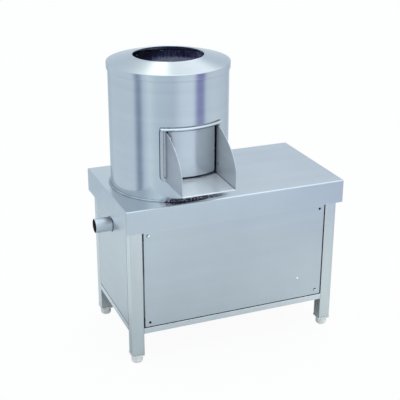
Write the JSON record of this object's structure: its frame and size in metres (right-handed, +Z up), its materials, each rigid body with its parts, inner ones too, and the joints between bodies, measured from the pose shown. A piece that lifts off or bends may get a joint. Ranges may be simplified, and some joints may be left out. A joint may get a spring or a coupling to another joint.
{
  "type": "potato peeler",
  "caption": "Floor-standing electric potato peeler: abrasive drum with a feed hole and a discharge chute with a door, on a stainless table whose cabinet holds the belt drive.",
  "frame": {"origin": "on the floor, under the centre of the bounding box", "axes": "+Z up; -Y the way the chute faces; +X to the free end of the table, away from the drum"},
  "size_m": [0.8, 0.5264, 0.975],
  "materials": {
    "stainless_sheet": "satin stainless sheet and tube",
    "machined_steel": "turned steel",
    "white_nylon": "moulded nylon",
    "abrasive_grit": "dark corundum grit bonded to an aluminium carrier",
    "black_rubber": "matt rubber",
    "cast_iron": "as cast, oiled",
    "motor_paint": "grey machine paint",
    "green_plastic": "gloss",
    "red_plastic": "gloss",
    "grey_plastic": "moulded"
  },
  "bodies": {
    "stand": {"drain_pipe": "stainless_sheet", "drum_pan": "stainless_sheet", "drum_shell": "stainless_sheet", "abrasive_liner": "abrasive_grit", "motor_body": "motor_paint", "drive_belt": "black_rubber", "drum_base_ring": "stainless_sheet", "table_top": "stainless_sheet", "bearing_housing": "cast_iron", "front_panel": "stainless_sheet", "front_left_leg": "stainless_sheet", "front_right_leg": "stainless_sheet", "rear_panel": "stainless_sheet", "chute_lintel": "stainless_sheet", "fan_cover": "motor_paint", "cable_gland": "grey_plastic", "button_plate": "machined_steel", "chute_right_wing": "stainless_sheet", "front_left_plug": "white_nylon", "front_right_plug": "white_nylon", "rear_left_plug": "white_nylon", "rear_right_plug": "white_nylon", "motor_lead": "black_rubber", "chute_floor": "stainless_sheet", "upper_bearing": "machined_steel", "lower_bearing": "machined_steel", "shaft_seal": "black_rubber", "chute_left_wing": "stainless_sheet", "panel_screw_top_left": "stainless_sheet", "panel_screw_bottom_right": "stainless_sheet", "panel_rivet": "stainless_sheet", "right_panel": "stainless_sheet", "motor_bracket": "stainless_sheet", "switch_box": "grey_plastic", "door_hinge_pin": "machined_steel", "door_bolt_guide": "machined_steel", "left_panel": "stainless_sheet", "rear_left_leg": "stainless_sheet", "rear_right_leg": "stainless_sheet", "front_rail": "stainless_sheet", "rear_rail": "stainless_sheet", "left_rail": "stainless_sheet", "right_rail": "stainless_sheet", "terminal_box": "grey_plastic"},
    "spindle": {"main_shaft": "machined_steel", "abrasive_disc": "abrasive_grit", "disc_nut": "machined_steel", "driven_pulley": "cast_iron"},
    "motor_rotor": {"motor_shaft": "machined_steel", "motor_pulley": "cast_iron", "motor_fan": "grey_plastic"},
    "door": {"door_panel": "stainless_sheet"},
    "bolt": {"door_bolt": "machined_steel"},
    "lid": {"lid_ring": "stainless_sheet"},
    "start": {"start_button": "green_plastic"},
    "stop": {"stop_button": "red_plastic"},
    "foot_front_left": {"front_left_foot": "white_nylon"},
    "foot_front_right": {"front_right_foot": "white_nylon"},
    "foot_rear_left": {"rear_left_foot": "white_nylon"},
    "foot_rear_right": {"rear_right_foot": "white_nylon"}
  },
  "joints": [
    {"name": "disc_spin", "type": "hinge", "parent": "stand", "child": "spindle", "pos_m": [-0.138, 0.05475, 0.56], "axis": [0, 0, 1], "continuous": true},
    {"name": "motor_spin", "type": "hinge", "parent": "stand", "child": "motor_rotor", "pos_m": [0.145, 0.05475, 0.4], "axis": [0, 0, 1], "continuous": true},
    {"name": "door_swing", "type": "hinge", "parent": "stand", "child": "door", "pos_m": [-0.205, -0.13185, 0.703], "axis": [0, 0, -1], "range_deg": [0, 88]},
    {"name": "bolt_slide", "type": "slide", "parent": "stand", "child": "bolt", "axis": [-1, 0, 0], "range_m": [0, 0.018]},
    {"name": "lid_lift", "type": "slide", "parent": "stand", "child": "lid", "axis": [0, 0, 1], "range_m": [0, 0.06]},
    {"name": "start_press", "type": "slide", "parent": "stand", "child": "start", "axis": [-1, 0, 0], "range_m": [0, 0.003], "stiffness_N_per_m": 1500},
    {"name": "stop_press", "type": "slide", "parent": "stand", "child": "stop", "axis": [-1, 0, 0], "range_m": [0, 0.003], "stiffness_N_per_m": 1500},
    {"name": "foot_front_left_adjust", "type": "slide", "parent": "stand", "child": "foot_front_left", "axis": [0, 0, -1], "range_m": [0, 0.02]},
    {"name": "foot_front_right_adjust", "type": "slide", "parent": "stand", "child": "foot_front_right", "axis": [0, 0, -1], "range_m": [0, 0.02]},
    {"name": "foot_rear_left_adjust", "type": "slide", "parent": "stand", "child": "foot_rear_left", "axis": [0, 0, -1], "range_m": [0, 0.02]},
    {"name": "foot_rear_right_adjust", "type": "slide", "parent": "stand", "child": "foot_rear_right", "axis": [0, 0, -1], "range_m": [0, 0.02]}
  ],
  "couplings": [
    {"joint": "motor_spin", "follows": "disc_spin", "ratio": 3.3125}
  ]
}
